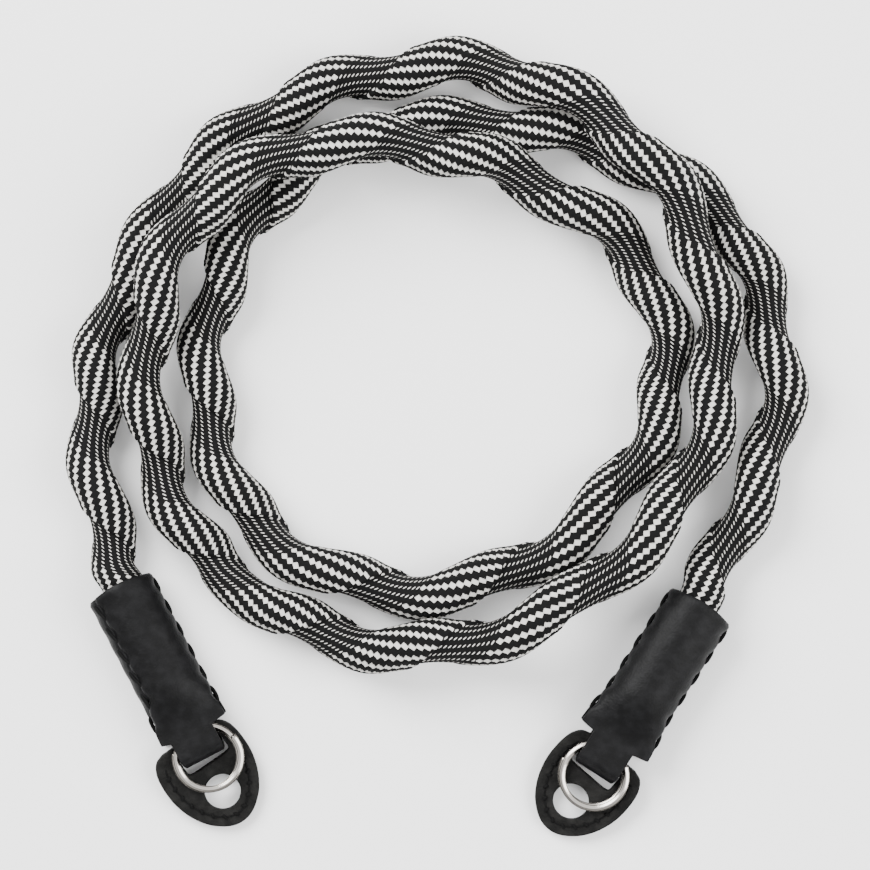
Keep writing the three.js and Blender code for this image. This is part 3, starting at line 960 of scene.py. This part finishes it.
def build_pad(end, places, leather, thread):
    """Two layers of leather with a groove between them, and the stitches round them."""
    slot_start = places["slot_start"] - places["pad_start"]
    slot_end = places["slot_end"] - places["pad_start"]
    slot_half = TAB_HALF + SLOT_GAP
    slot_at = ((slot_start + slot_end) / 2, end["tab_shift"] - end["pad_shift"])
    hole_at = (slot_end + PAD_CROSSBAR + PAD_HOLE_RADIUS, 0.0)
    loops = [
        pad_outline(PAD_OUTLINE_STEPS),
        opening(slot_at, (slot_end - slot_start) / 2, slot_half, SLOT_SQUARENESS, SLOT_STEPS),
        opening(hole_at, PAD_HOLE_RADIUS, PAD_HOLE_RADIUS, HOLE_SQUARENESS, HOLE_STEPS),
    ]
    start = Matrix.Translation((places["pad_start"] - places["pivot"], end["pad_shift"], 0))
    place = pad_matrix(end, places) @ start
    layers = []
    for k in range(2):
        height = PAD_THICKNESS * (k + 0.5) / 2
        half_depth = PAD_THICKNESS / 4 - PAD_BEVEL
        data = curve_2d(f"{end['name']}_pad_layer", loops, half_depth, PAD_BEVEL)
        carrier = bpy.data.objects.new("carrier", data)
        bpy.context.scene.collection.objects.link(carrier)
        graph = bpy.context.evaluated_depsgraph_get()
        mesh = bpy.data.meshes.new_from_object(carrier.evaluated_get(graph))
        mesh.transform(place @ Matrix.Translation((0, 0, height)))
        bpy.data.objects.remove(carrier)
        layers.append(mesh)
    for k, mesh in enumerate(layers):
        obj = bpy.data.objects.new(f"{end['name']}_pad_{('under', 'upper')[k]}", mesh)
        bpy.context.scene.collection.objects.link(obj)
        mesh.materials.clear()
        mesh.materials.append(leather)
        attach(obj, "root")
        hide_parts(f"{end['name']}_pad")
    build_pad_stitches(end, place, thread)


def build_pad_stitches(end, place, material):
    """Stitches round both faces of a pad, and a knot where each goes through it."""
    outline = pad_outline(RIM_STEPS)
    step = np.gradient(outline, axis=0)
    step /= np.linalg.norm(step, axis=1, keepdims=True)
    inward = np.stack([step[:, 1], -step[:, 0]], axis=-1)
    inset = outline + PAD_STITCH_INSET * inward
    lengths = np.concatenate([[0], np.linalg.norm(np.diff(inset, axis=0), axis=1).cumsum()])
    number = int(lengths[-1] / PAD_STITCH_PITCH)
    parts = []
    for k in range(1, number):
        for middle, reach, slant, radius in (
            ((k + 0.5) * PAD_STITCH_PITCH, PAD_STITCH_PITCH / 2, 0.0, PAD_THREAD),
            (k * PAD_STITCH_PITCH, PAD_KNOT_REACH, PAD_KNOT_SLANT, PAD_KNOT),
        ):
            share = np.linspace(-1, 1, PAD_STITCH_STEPS)
            run = middle + reach * share
            x = np.interp(run, lengths, inset[:, 0])
            y = np.interp(run, lengths, inset[:, 1])
            x = x + slant * share * np.interp(run, lengths, inward[:, 0])
            y = y + slant * share * np.interp(run, lengths, inward[:, 1])
            for z, flip in ((PAD_THICKNESS, 1), (0.0, -1)):
                lift = PAD_STITCH_LIFT - PAD_STITCH_DIP * share**2
                path = np.stack([x, y, z + flip * lift], -1)
                parts.append(tube(path, radius, PAD_THREAD_SIDES))
    points, quads = joined(parts)
    points = above_ground(placed(points, place))
    obj = mesh_object(f"{end['name']}_pad_thread", points, quads, material)


# Camera, floor and light


def build_camera():
    data = bpy.data.cameras.new("camera")
    data.sensor_width = SENSOR
    data.lens = SENSOR * (CAMERA_HEIGHT - SLEEVE_HALF_HEIGHT) / VIEW_WIDTH
    data.clip_end = CAMERA_CLIP_END
    camera = bpy.data.objects.new("camera", data)
    camera.location = (CAMERA_X, 0.0, CAMERA_HEIGHT)
    bpy.context.scene.collection.objects.link(camera)
    bpy.context.scene.camera = camera


def build_floor():
    n = Nodes("floor")
    n.set(Base_Color=(FLOOR_WHITE, FLOOR_WHITE, FLOOR_WHITE, 1))
    n.set(Roughness=FLOOR_ROUGHNESS, Specular_IOR_Level=FLOOR_GLOSS)
    corners = ((-1, -1), (1, -1), (1, 1), (-1, 1))
    points = [(x * FLOOR_REACH, y * FLOOR_REACH, 0) for x, y in corners]
    mesh = bpy.data.meshes.new("floor")
    mesh.from_pydata(points, [], [(0, 1, 2, 3)])
    mesh.materials.append(n.material)
    floor = bpy.data.objects.new("floor", mesh)
    bpy.context.scene.collection.objects.link(floor)


def area_light(name, place, size, power):
    """A round soft light that faces the strap."""
    data = bpy.data.lights.new(name, "AREA")
    data.shape = "DISK"
    data.size = size
    data.energy = power
    light = bpy.data.objects.new(name, data)
    light.location = place
    light.rotation_euler = (-Vector(place)).to_track_quat("-Z", "Y").to_euler()
    bpy.context.scene.collection.objects.link(light)


def build_light():
    world = bpy.data.worlds.new("studio")
    bpy.context.scene.world = world
    world.use_nodes = True
    nodes = world.node_tree.nodes
    links = world.node_tree.links
    direction = nodes.new("ShaderNodeTexCoord").outputs["Generated"]
    split = nodes.new("ShaderNodeSeparateXYZ")
    links.new(direction, split.inputs[0])
    sky = nodes.new("ShaderNodeMapRange")
    links.new(split.outputs["Z"], sky.inputs["Value"])
    sky.inputs["From Min"].default_value = SKY_FADE[0]
    sky.inputs["From Max"].default_value = SKY_FADE[1]
    sky.inputs["To Min"].default_value = SKY_AT_HORIZON
    sky.inputs["To Max"].default_value = SKY_ABOVE
    links.new(sky.outputs["Result"], nodes["Background"].inputs["Strength"])
    nodes["Background"].inputs["Color"].default_value = (1, 1, 1, 1)
    for name, (place, size, power) in LIGHTS.items():
        area_light(name, place, size, power)


build_camera()
braid = braid_material()
for piece in range(ROPE_PIECES):
    build_rope_piece(piece, braid)

sleeve_leather = leather_material("sleeve_leather", SLEEVE_BLACK, SLEEVE_ROUGHNESS, SLEEVE_GRAIN)
pad_leather = leather_material("pad_leather", PAD_BLACK, PAD_ROUGHNESS, PAD_GRAIN)
thread = thread_material()
steel = steel_material()
for end in ENDS:
    places = build_sleeve(end, sleeve_leather)
    build_seams(end, places, thread)
    build_ring(end, places, steel)
    build_pad(end, places, pad_leather, thread)

build_floor()
build_light()
